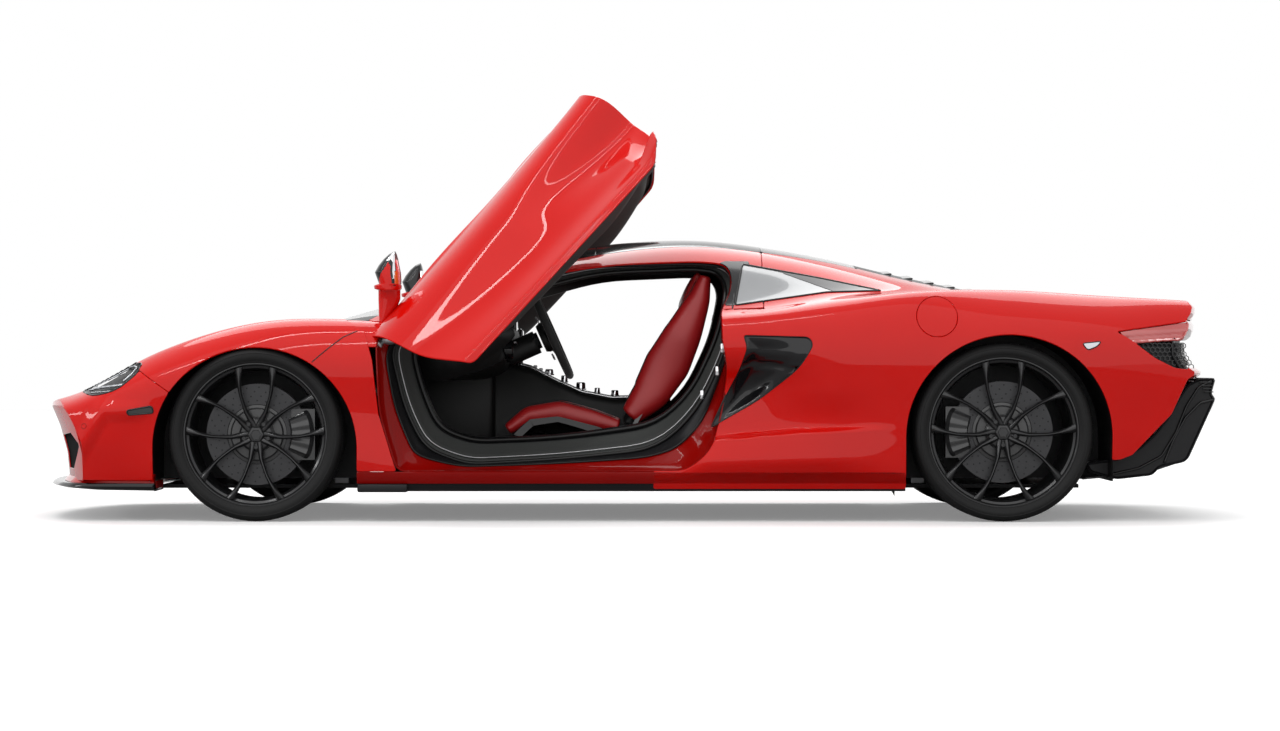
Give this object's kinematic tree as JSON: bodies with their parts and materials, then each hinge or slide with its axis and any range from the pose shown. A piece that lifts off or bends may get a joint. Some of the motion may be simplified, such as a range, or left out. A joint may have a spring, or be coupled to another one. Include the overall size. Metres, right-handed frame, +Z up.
{
  "type": "supercar",
  "caption": "Low mid-engined sports car with slanted upward-swinging doors shown open, steered front wheels, hinged bonnet, engine cover, air brake and fuel flap",
  "frame": {"origin": "on the ground, under the middle of the bounding box", "axes": "+X runs from the nose to the tail, +Y to the car's right-hand side, +Z up"},
  "size_m": [4.54, 2.3302, 1.6237],
  "materials": {
    "paint": "gloss",
    "black_gloss": "gloss",
    "dark_glass": "clear",
    "lamp_red": "gloss",
    "black_plastic": "matte",
    "composite": "satin",
    "aluminium": "satin",
    "leather": "satin",
    "tyre": "matte",
    "wheel_paint": "satin",
    "iron": "ground"
  },
  "bodies": {
    "body": {"nose": "paint", "headlamps": "black_gloss", "intake_grilles": "black_plastic", "splitter": "black_plastic", "front_wings": "paint", "cowl": "paint", "windscreen": "dark_glass", "roof_panel": "black_gloss", "rear_screen": "dark_glass", "roof_rails": "paint", "rear_quarters": "paint", "quarter_glass": "dark_glass", "intake_blades": "black_gloss", "sills": "black_gloss", "rear_bumper": "paint", "tail_grille": "black_plastic", "tail_lamps": "lamp_red", "tail_deck": "paint", "diffuser": "black_plastic", "tub": "composite", "front_frame": "aluminium", "rear_frame": "aluminium", "underfloor": "black_plastic", "seats": "leather", "console": "black_plastic", "dashboard": "black_plastic", "engine_block": "aluminium", "front_wishbones": "aluminium", "hub_carrier_rear_left": "aluminium", "hub_carrier_rear_right": "aluminium", "rear_wishbones": "aluminium"},
    "door_left": {"door_left": "paint", "mirror_left": "paint"},
    "door_right": {"door_right": "paint", "mirror_right": "paint"},
    "bonnet": {"bonnet": "paint"},
    "engine_cover": {"engine_cover": "black_gloss"},
    "air_brake": {"air_brake": "paint"},
    "fuel_flap": {"fuel_flap": "paint"},
    "steering_wheel": {"steering_wheel": "black_plastic"},
    "knuckle_left": {"knuckle_front_left": "aluminium"},
    "knuckle_right": {"knuckle_front_right": "aluminium"},
    "wheel_front_left": {"tyre_front_left": "tyre", "rim_front_left": "wheel_paint", "brake_disc_front_left": "iron"},
    "wheel_front_right": {"tyre_front_right": "tyre", "rim_front_right": "wheel_paint", "brake_disc_front_right": "iron"},
    "wheel_rear_left": {"tyre_rear_left": "tyre", "rim_rear_left": "wheel_paint", "brake_disc_rear_left": "iron"},
    "wheel_rear_right": {"tyre_rear_right": "tyre", "rim_rear_right": "wheel_paint", "brake_disc_rear_right": "iron"}
  },
  "joints": [
    {"name": "door_left_swing", "type": "hinge", "parent": "body", "child": "door_left", "pos_m": [-0.97, -0.875, 0.662], "axis": [0.6428, 0.766, 0], "range_deg": [0, 68]},
    {"name": "door_right_swing", "type": "hinge", "parent": "body", "child": "door_right", "pos_m": [-0.97, 0.875, 0.662], "axis": [-0.6428, 0.766, 0], "range_deg": [0, 68]},
    {"name": "bonnet_lift", "type": "hinge", "parent": "body", "child": "bonnet", "pos_m": [-1.239, 0, 0.745], "axis": [0, 1, 0], "range_deg": [0, 60]},
    {"name": "engine_cover_lift", "type": "hinge", "parent": "body", "child": "engine_cover", "pos_m": [0.859, 0, 0.975], "axis": [0, -1, 0], "range_deg": [0, 50]},
    {"name": "air_brake_lift", "type": "hinge", "parent": "body", "child": "air_brake", "pos_m": [2.02, 0, 0.825], "axis": [0, -1, 0], "range_deg": [0, 30]},
    {"name": "fuel_flap_swing", "type": "hinge", "parent": "body", "child": "fuel_flap", "pos_m": [1.054, -0.908, 0.765], "axis": [0, -0.5621, -0.8271], "range_deg": [0, 80]},
    {"name": "steer_left", "type": "hinge", "parent": "body", "child": "knuckle_left", "pos_m": [-1.399, -0.7555, 0.323], "axis": [0, 0, 1], "range_deg": [-30, 30]},
    {"name": "steer_right", "type": "hinge", "parent": "body", "child": "knuckle_right", "pos_m": [-1.399, 0.7555, 0.323], "axis": [0, 0, 1], "range_deg": [-30, 30]},
    {"name": "steering_wheel_turn", "type": "hinge", "parent": "body", "child": "steering_wheel", "pos_m": [-0.311, -0.38, 0.7], "axis": [0.9136, 0, 0.4067], "range_deg": [-400, 400]},
    {"name": "wheel_front_left_spin", "type": "hinge", "parent": "knuckle_left", "child": "wheel_front_left", "pos_m": [-1.399, -0.805, 0.323], "axis": [0, 1, 0], "continuous": true},
    {"name": "wheel_front_right_spin", "type": "hinge", "parent": "knuckle_right", "child": "wheel_front_right", "pos_m": [-1.399, 0.805, 0.323], "axis": [0, 1, 0], "continuous": true},
    {"name": "wheel_rear_left_spin", "type": "hinge", "parent": "body", "child": "wheel_rear_left", "pos_m": [1.379, -0.7925, 0.332], "axis": [0, 1, 0], "continuous": true},
    {"name": "wheel_rear_right_spin", "type": "hinge", "parent": "body", "child": "wheel_rear_right", "pos_m": [1.379, 0.7925, 0.332], "axis": [0, 1, 0], "continuous": true}
  ],
  "couplings": [
    {"joint": "steer_right", "follows": "steer_left", "ratio": 1},
    {"joint": "steering_wheel_turn", "follows": "steer_left", "ratio": 13}
  ]
}
